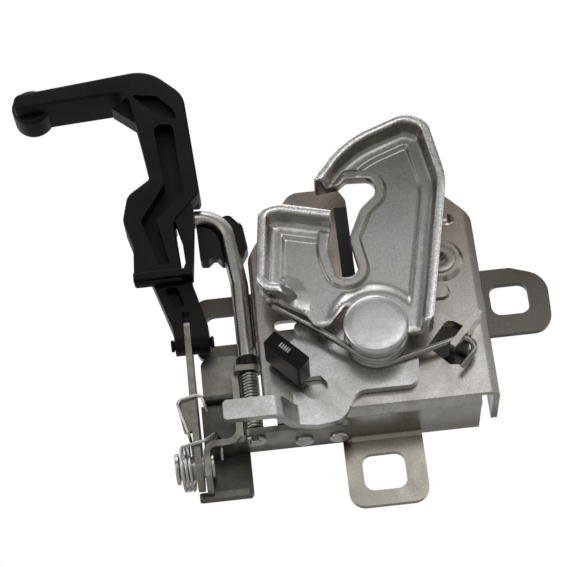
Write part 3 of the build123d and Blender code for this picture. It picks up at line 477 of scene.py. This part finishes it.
# Distances in mm, measured in from the outlines.
RIM_THICK = 2.6
WALL_END = 2.95  # the inner wall leans in over the last 0.35
ROOT_END = 5.1
ROOT_RISE = 2.2
SHELF_END = 7.0  # where the web steps back once more
STEP_END = 8.3
STEP_DEPTH = 0.9
HUB_FLAT = (12.0, 15.0)  # round the rivet the web stays flat
BAND_EDGE = (2.6, 3.6)  # the coined band round the mouth falls away here
CREST_RADIUS = 0.7
INNER_RADIUS = 0.6
BLANK_RADIUS = 0.35  # edges as blanked
BEND_RADIUS = 1.7  # back of the rim's bend


def nearest(spots, routes):
    """Distance of each spot from the nearest of several routes."""
    return np.min([reach(spots, route[:-1], route[1:]) for route in routes], axis=0)


def soft_step(value, low, high):
    """0 below low, 1 above high, and 3 t^2 - 2 t^3 between them."""
    t = np.clip((value - low) / (high - low), 0.0, 1.0)
    return t * t * (3.0 - 2.0 * t)


def quarter(distance, radius):
    """How far a rounded edge has fallen away at a distance d in from it:
    r - sqrt(r^2 - (r - d)^2)."""
    left = np.clip(radius - distance, 0.0, radius)
    return radius - np.sqrt(radius ** 2 - left ** 2)


def catch_front(spots, edge):
    """Depth of the catch's front at each spot: rim, wall, rounded root, shelf and step.

    The root is a quarter circle against the wall, the step and the band's edge are soft
    steps, and the band stands one step in front of the shelf."""
    rim = nearest(spots, rims)
    lip = nearest(spots, mouth)
    root = 1.0 - np.sqrt(1.0 - np.clip((ROOT_END - rim) / ROOT_RISE, 0.0, 1.0) ** 2)
    step = soft_step(rim, SHELF_END, STEP_END)
    band = (1.0 - soft_step(lip, *BAND_EDGE)) * soft_step(rim, 4.0, 5.0)
    web = WEB_FRONT - ROOT_RISE * root + STEP_DEPTH * step * soft_step(np.hypot(*spots.T), *HUB_FLAT)
    web = web - (STEP_DEPTH + STEP_DEPTH * step) * band
    wall = WEB_FRONT - ROOT_RISE - WALL_TOP * (1.0 - soft_step(rim, 2.5, 3.0))
    crest = RIM_FRONT + quarter(rim, CREST_RADIUS) + quarter(RIM_THICK - rim, INNER_RADIUS)
    front = np.where(rim < RIM_THICK, crest, np.where(rim < WALL_END, wall, web))
    return front + np.where(rim < 0.8, 0.0, quarter(edge, BLANK_RADIUS))


def catch_back(spots, edge):
    """Depth of its back: flat, and rounded off by the bend where the rim is turned."""
    rim = nearest(spots, rims)
    return WEB_BACK - np.where(rim < 2.0, quarter(rim, BEND_RADIUS), quarter(edge, BLANK_RADIUS))


# The surface gets lines of points at these distances in from the outlines, so that each
# change of slope has its own line, and an even grid between them.
RIM_LINES = (0.12, 0.3, 0.7, 1.3, 2.0, 2.3, 2.5, 2.6, 2.78, 2.95, 3.3, 3.8, 4.4, 5.1,
             6.6, 7.0, 7.3, 7.6, 7.95, 8.3, 8.7)
MOUTH_LINES = (0.12, 0.35, 2.3, 2.6, 2.85, 3.1, 3.35, 3.6, 3.9)
GRID_GAP = 0.9
MARGIN = 0.5  # the grid stays this far inside every edge

loops = [spaced(np.concatenate([loop, loop[:1]]), 0.5)[:-1] for loop in back_loops("catch", WEB_BACK)]
edge_starts = np.concatenate(loops)
edge_ends = np.concatenate([np.roll(loop, -1, axis=0) for loop in loops])
spots = list(edge_starts)
links = []
first = 0
for loop in loops:
    links += [(first + i, first + (i + 1) % len(loop)) for i in range(len(loop))]
    first += len(loop)
for routes, distances in ((rims, RIM_LINES), (mouth, MOUTH_LINES)):
    for route in routes:
        along = np.gradient(route, axis=0)
        across = np.stack([-along[:, 1], along[:, 0]], axis=1) / np.linalg.norm(along, axis=1)[:, None]
        for distance in distances:
            for side in (1.0, -1.0):
                ring = route + side * distance * across
                keep = covers(loops, ring) & (reach(ring, edge_starts, edge_ends) > 0.1)
                keep &= nearest(ring, [route]) > distance - 0.02
                number = np.cumsum(keep) - 1 + len(spots)
                spots.extend(ring[keep])
                pairs = np.flatnonzero(keep[:-1] & keep[1:])
                close = np.linalg.norm(ring[pairs] - ring[pairs + 1], axis=1) < 2 * POINT_GAP
                links += [(int(number[i]), int(number[i + 1])) for i in pairs[close]]
low, high = edge_starts.min(0), edge_starts.max(0)
columns = np.arange(low[0], high[0], GRID_GAP)
rows = np.arange(low[1], high[1], GRID_GAP)
grid = np.stack(np.meshgrid(columns, rows), axis=-1).reshape(-1, 2)
grid = grid[covers(loops, grid)]
from_rim = nearest(grid, rims)
from_lip = nearest(grid, mouth)
free = (reach(grid, edge_starts, edge_ends) > MARGIN) & (from_rim > 5.4)
free &= (np.abs(from_rim - 7.65) > 1.3) & (np.abs(from_lip - 3.1) > 1.05)  # clear of all lines
spots.extend(grid[free])
found = delaunay_2d_cdt([Vector(spot) for spot in spots], links, [], 0, 1e-4)
flat = np.array([tuple(spot) for spot in found[0]])
triangles = np.array(found[2])
triangles = triangles[covers(loops, flat[triangles].mean(1))]
from_edge = reach(flat, edge_starts, edge_ends)
front = np.stack([flat[:, 0], catch_front(flat, from_edge), flat[:, 1]], axis=1)
back = np.stack([flat[:, 0], catch_back(flat, from_edge), flat[:, 1]], axis=1)
count = len(flat)
walls = [(a, a + count, b + count, b) for a, b in open_edges(triangles)]
faces = triangles.tolist() + (triangles[:, ::-1] + count).tolist()


GLITTER_MM = 0.7143  # the painted glint's spots, standing for torn facets of the sheared edge, drawn coarser so that they show


def darker_hook(tree, place, tone):
    """Painted shade makes the web of the hook darker than the lobe, the more the higher it lies.
    A painted glint makes the rim's sheared edge, which stands furthest forward, bright in spots."""
    part = add_node(tree, "SeparateXYZ", {0: place}).outputs
    high = add_node(tree, "MapRange", {0: part["Z"], 1: 0.008, 2: 0.034, 3: 0.0, 4: 0.75}).outputs[0]
    tone = add_node(tree, "Mix", {"Factor": high, "A": tone, "B": linear("#908d86")},
                    data_type="RGBA").outputs["Result"]
    glitter = add_node(tree, "TexNoise", {"Vector": place, "Scale": 1000.0 / GLITTER_MM, "Detail": 3.0,
                                          "Roughness": 0.8}).outputs["Fac"]
    shear = add_node(tree, "MapRange", {0: part["Y"], 1: -0.0384, 2: -0.0393, 3: 0.0, 4: 1.0}).outputs[0]
    spark = add_node(tree, "MapRange", {0: glitter, 1: 0.40, 2: 0.60, 3: 0.25, 4: 1.0}).outputs[0]
    bright = add_node(tree, "Math", {0: shear, 1: spark}, operation="MULTIPLY").outputs[0]
    return add_node(tree, "Mix", {"Factor": bright, "A": tone, "B": linear("#fbfbfa")},
                    data_type="RGBA").outputs["Result"]


catch_zinc = zinc_steel("zinc_plated_catch", "#d2d0cd", "#aeaba6", 0.26, stain=darker_hook)
pressed = put("rotary_catch", here(np.concatenate([front, back])), faces + walls, catch_zinc,
              "catch_body", "catch", "catch")
pressed.data.set_sharp_from_angle(angle=math.radians(42.0))


# CATCH SPRING. Two turns of 2 mm spring wire round the bush, oiled, so grey and glossy. One
# leg presses up under the catch's lobe, the other hooks behind the lug.
def wire(name, route, radius, material, body, slot, *nodes, sides=16):
    """Round wire along a route in mm. Each ring lies across the route, and is carried
    from one point to the next without twist: its side vector loses only what lies along
    the new direction. The last rings at each end shrink to a rounded tip."""
    along = np.gradient(route, axis=0)
    along /= np.linalg.norm(along, axis=1)[:, None]
    side = np.cross(along[0], (0.3, 0.5, 0.8))
    sides_list = []
    for direction in along:
        side = side - direction * (side @ direction)
        side /= np.linalg.norm(side)
        sides_list.append(side)
    side = np.array(sides_list)
    other = np.cross(along, side)
    size = np.full(len(route), radius)
    size[0] = size[-1] = 0.72 * radius
    angle = np.linspace(0.0, 2 * np.pi, sides, endpoint=False)[:, None]
    ring = side[:, None] * np.cos(angle) + other[:, None] * np.sin(angle)
    spots = route[:, None] + ring * size[:, None, None]
    spots = np.concatenate([spots.reshape(-1, 3), route[:1], route[-1:]])
    tip = len(route) * sides
    last_ring = tip - sides
    caps = [(tip, (i + 1) % sides, i) for i in range(sides)]
    caps = caps + [(tip + 1, last_ring + i, last_ring + (i + 1) % sides) for i in range(sides)]
    faces = ring_faces(len(route), sides).tolist() + caps
    return put(name, here(spots), faces, material, body, slot, *nodes)


CATCH_WIRE = 1.0  # radius of the wire
CATCH_COIL = 8.7  # radius of the turns, round the bush's axis
CATCH_PITCH = 2.05  # the turns nearly touch
LEG_ANGLES = (227.0, 283.6)  # where the turns leave for the left and the right leg

oiled_steel = zinc_steel("oiled_spring_steel", "#b3b0aa", "#85817b", 0.27, cloud_mm=6.0, grain_mm=0.2)
part = np.linspace(0.0, 1.0, 190)
turn = np.radians(np.linspace(LEG_ANGLES[0], LEG_ANGLES[1] + 720.0, len(part)))
coil_front = -8.9  # depth of the foremost turn
coil_back = coil_front + CATCH_PITCH * (2 + (LEG_ANGLES[1] - LEG_ANGLES[0]) / 360.0)
depth = coil_front + (coil_back - coil_front) * part
coil = np.stack([CATCH_COIL * np.cos(turn), depth, CATCH_COIL * np.sin(turn)], axis=1)
left_leg = [coil[0], (-17.5, coil_front, 3.2), (-30.9, -12.6, 11.5), (-31.1, -16.6, 11.5)]
left_leg = bent(left_leg, [6.0, 1.6])
right_leg = [coil[-1], (27.0, coil_back, -2.2), (30.2, coil_back, -6.0), (24.6, coil_back, -12.2)]
right_leg = bent(right_leg, [3.0, 3.0])
route = np.concatenate([left_leg[::-1], coil[1:-1], right_leg])
spring = wire("catch_torsion_spring", route, CATCH_WIRE, oiled_steel, None, "catch_spring",
              "catch_spring")
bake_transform(spring)


# RELEASE LEVER. Three arms cut from 3 mm steel and zinc plated; the long arm steps
# forward into a bar that the pull mechanism pushes, the brightest metal of the latch.
lever_zinc = zinc_steel("zinc_plated_lever", "#d0cecc", "#b3b0ac", 0.26, cloud_mm=11.0)
broken_edges("three_arm_lever", "release_lever", lever_zinc, "lever_body", 0.35)

# LEVER BUFFER. A glossy black rubber cap on the lever's tongue, with a small window in
# its end in which pale ribs stand.
gloss_rubber = moulding("buffer_rubber", "#060708", 0.32, 0.16, 0.6, 0.02)
broken_edges("buffer_cap", "lever_buffer", gloss_rubber, "lever_body", 0.5, steps=3)


def rounded_block(centre, half, power=0.35, across=24):
    """A block with soft edges: the surface x = a c(v) c(u), y = b c(v) s(u), z = h s(v),
    where c and s are cosine and sine raised to the power, with their signs kept."""
    u = np.linspace(-np.pi, np.pi, across, endpoint=False)
    v = np.linspace(-np.pi / 2, np.pi / 2, across // 2 + 1)[:, None]
    cos_u, sin_u, cos_v, sin_v = (np.sign(wave) * np.abs(wave) ** power
                                  for wave in (np.cos(u), np.sin(u), np.cos(v), np.sin(v)))
    spots = np.stack([cos_v * cos_u * half[0], cos_v * sin_u * half[1], sin_v * half[2] + 0 * u], axis=-1)
    return spots.reshape(-1, 3) + centre, ring_faces(across // 2 + 1, across)


CAP_TILT = math.radians(46.4)  # lean of the cap, round the point CAP_PLACE
CAP_PLACE = (-27.5, 0.0, -5.6)
RIBS = 5
RIB_GAP = 0.8
RIB_HALF = (0.2, 0.32, 0.85)  # half of a rib's width, depth and length

lean = np.array([[math.cos(CAP_TILT), 0.0, math.sin(CAP_TILT)], [0.0, 1.0, 0.0],
                 [-math.sin(CAP_TILT), 0.0, math.cos(CAP_TILT)]])
rib_spots = []
rib_faces = []
for number in range(RIBS):
    spots, quads = rounded_block((-2.6 + RIB_GAP * number, -14.95, 0.4), RIB_HALF)
    rib_faces.append(quads + len(spots) * number)
    rib_spots.append(spots @ lean.T + CAP_PLACE)
pale_ribs = moulding("pale_window_ribs", "#f2f3f2", 0.45, 0.4, 0.5)
put("buffer_window_ribs", here(np.concatenate(rib_spots)), np.concatenate(rib_faces),
    pale_ribs, "lever_body", "lever_buffer")

# DETENT PAWL. Steel pawl behind the plate in yellow chromate, which shows gold and
# brown round the window, with a moulded glossy sleeve over its tail.
pawl_chromate = zinc_steel("yellow_chromate", "#b09a6c", "#8d7450", 0.34, cloud_mm=7.0)
broken_edges("pawl_plate", "detent_pawl", pawl_chromate, "pawl_body", 0.25)
gloss_nylon = moulding("gloss_nylon", "#08090a", 0.14, 0.5, 0.8)
sleeve = broken_edges("pawl_sleeve", "pawl_cover", gloss_nylon, "pawl_body", 0.5, steps=3)
SLEEVE_MIDDLE = Vector(here((23.23, 4.45, -2.6)))
draft = Matrix.Diagonal((0.975, 0.97, 0.99, 1.0))  # 0.15 mm a side clear of the pan's bend
sleeve.data.transform(Matrix.Translation(SLEEVE_MIDDLE) @ draft @ Matrix.Translation(-SLEEVE_MIDDLE))

# PAWL RIVET. A small turned steel rivet in the plate's pressed boss, dimpled where it was
# spun over, which the pawl turns on.
pawl_axis = (23.2, 26.9)
small_rivet = tool_rings("spun_rivet_steel", "#a7a39b", "#8b867d", 0.33, pawl_axis, 0.4)
pawl_profile = [
    (0.0, -1.05), (0.9, -1.25), (1.5, -1.65), (1.85, -1.98), (2.1, -2.1), (4.7, -2.1), (5.05, -1.98),
    (5.2, -1.75), (5.2, -1.5), (3.0, -1.5), (3.0, 5.5), (4.8, 5.5), (4.7, 6.5), (4.2, 6.9), (0.0, 6.95)]
turned("pawl_rivet_turned", pawl_profile, pawl_axis, small_rivet, "frame_body", "pawl_rivet", "pawl_rivet")


# SIDE BRACKET. One bent strip of thinly plated steel riveted under the pan, boxed round
# the handle's pivot and carried up as a post for the rod. Painted shade makes its inside
# nearly black.
def dark_box(tree, place, tone):
    """Painted shade darkens the back of the box, below and to the left of the pan."""
    depth = add_node(tree, "SeparateXYZ", {0: place}).outputs["Y"]
    deep = add_node(tree, "MapRange", {0: depth, 1: -0.010, 2: -0.004, 3: 0.0, 4: 0.85}).outputs[0]
    return add_node(tree, "Mix", {"Factor": deep, "A": tone, "B": linear("#4c4946")},
                    data_type="RGBA").outputs["Result"]


bracket_zinc = zinc_steel("dull_zinc_bracket", "#a8a59c", "#817d74", 0.40, cloud_mm=9.0, stain=dark_box)
broken_edges("bent_bracket", "side_bracket", bracket_zinc, "frame_body", 0.30)
broken_edges("bracket_rivet_heads", "bracket_rivets", lever_zinc, "frame_body", 0.2)

# HANDLE LEVER. Flat zinc-plated lever, gone a dull grey, that turns on the pivot pin and
# runs up into the handle's fork; the pin has a broad plain head.
handle_lever_zinc = zinc_steel("zinc_handle_lever", "#9d998f", "#7b776e", 0.40, cloud_mm=8.0)
broken_edges("flat_handle_lever", "handle_lever", handle_lever_zinc, "handle_body", 0.25)
broken_edges("headed_pivot_pin", "lever_pivot_pin", lever_zinc, "frame_body", 0.35)

# HANDLE RETURN SPRING. Nearly three turns of bright 1 mm wire round the pivot pin; one
# leg lies over the lever's flange, the other is hooked through the box.
RETURN_WIRE = 0.5  # radius of the wire
RETURN_COIL = 6.8  # radius of the turns
RETURN_TURNS = 2.75
RETURN_PITCH = 1.2
PIVOT = (-62.4, 10.0, -29.5)  # where the turns begin, on the pin's axis along x

bright_wire = zinc_steel("bright_spring_wire", "#d3d2cf", "#b5b3ae", 0.24, cloud_mm=5.0, grain_mm=0.2)
turn = 2 * np.pi * np.linspace(0.0, RETURN_TURNS, 170)
coil = np.stack([PIVOT[0] + RETURN_PITCH * turn / (2 * np.pi), PIVOT[1] - RETURN_COIL * np.cos(turn),
                 PIVOT[2] - RETURN_COIL * np.sin(turn)], axis=1)
hook_leg = [(-50.3, 8.6, -28.6), (-50.3, 8.6, -21.9), (-51.6, 3.0, -21.9), (-54.6, -0.6, -25.4),
            (-62.0, 0.8, -26.2)]
hook_leg = bent(hook_leg + [coil[0]], [0.9, 1.2, 1.4, 1.0], step=0.3)
lever_leg = [(-59.2, -0.1, -23.0), (-62.0, -0.1, -12.4), (-60.9, -0.1, -11.0), (-56.2, -0.1, -10.2),
             (-54.4, -0.1, -10.8), (-53.3, -0.1, -16.0)]
lever_leg = bent([coil[-1]] + lever_leg, [1.5, 0.8, 0.8, 0.8, 0.8], step=0.3)
route = np.concatenate([hook_leg, coil[1:-1], lever_leg])
spring = wire("return_torsion_spring", route, RETURN_WIRE, bright_wire, None, "handle_return_spring",
              "handle_return_spring", sides=12)
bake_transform(spring)

# HANDLE. Moulded in black glass-filled nylon with a fine grain, soft at the edges where
# fingers pull; a cross pin in black oxide fastens its fork to the metal lever.
handle_nylon = moulding("grained_black_nylon", "#050506", 0.42, 0.20, 0.45, 0.05)
broken_edges("pull_handle", "handle", handle_nylon, "handle_body", 0.55, steps=3)
black_oxide = zinc_steel("black_oxide_pin", "#2a2a2b", "#1b1b1c", 0.36, cloud_mm=4.0)
broken_edges("fork_cross_pin", "handle_pin", black_oxide, "handle_body", 0.3)


# HOOK ROD. 5.6 mm round rod, zinc plated with a patchy yellowish cast, bent over behind
# the handle, and turned down to the journal that its bush holds.
CAST_MM = 8.333  # size of the tinted patches


def yellow_cast(tree, place, tone):
    """A chromate tint that comes and goes in patches."""
    patch = add_node(tree, "TexNoise", {"Vector": place, "Scale": 1000.0 / CAST_MM,
                                        "Detail": 4.0}).outputs["Fac"]
    amount = add_node(tree, "MapRange", {0: patch, 1: 0.42, 2: 0.68, 3: 0.0, 4: 0.28}).outputs[0]
    return add_node(tree, "Mix", {"Factor": amount, "A": tone, "B": linear("#ab9d7c")},
                    data_type="RGBA").outputs["Result"]


rod_zinc = zinc_steel("yellowish_rod_zinc", "#cfcdc9", "#a5a39d", 0.26, cloud_mm=6.0, stain=yellow_cast)
broken_edges("bent_hook_rod", "hook_rod", rod_zinc, "rod_body", 0.3)
broken_edges("rod_retaining_ring", "rod_ring", lever_zinc, "rod_body", 0.12)

# ROD CLIP AND BUSH. Black acetal, smooth with a soft gloss: the clip snaps over the rod's
# bend from behind, and the bush carries the rod's journal in the bracket's ear.
acetal = moulding("black_acetal", "#070708", 0.34, 0.3, 0.6, 0.05)
broken_edges("snap_clip", "rod_clip", acetal, "rod_body", 0.4, steps=3)
broken_edges("journal_bush", "rod_bush", acetal, "frame_body", 0.25)

# ROD SPRING. Eighteen close turns of 1 mm spring wire, oiled like the catch's, slipped
# over the rod's thin lower end.
ROD_WIRE = 0.49  # radius of the wire, a hair less than half the turns' pitch
ROD_COIL = 2.45  # radius of the turns
ROD_TURNS = 18
ROD_AXIS = (-39.7, 6.0)
ROD_ENDS = (-21.2, -2.9)  # height of the wire's two ends

turn = 2 * np.pi * np.linspace(0.0, ROD_TURNS, ROD_TURNS * 28)
coil = np.stack([ROD_AXIS[0] + ROD_COIL * np.cos(turn), ROD_AXIS[1] + ROD_COIL * np.sin(turn),
                 np.linspace(*ROD_ENDS, len(turn))], axis=1)
wire("rod_torsion_spring", coil, ROD_WIRE, oiled_steel, "frame_body", "rod_spring", "rod_spring", sides=10)
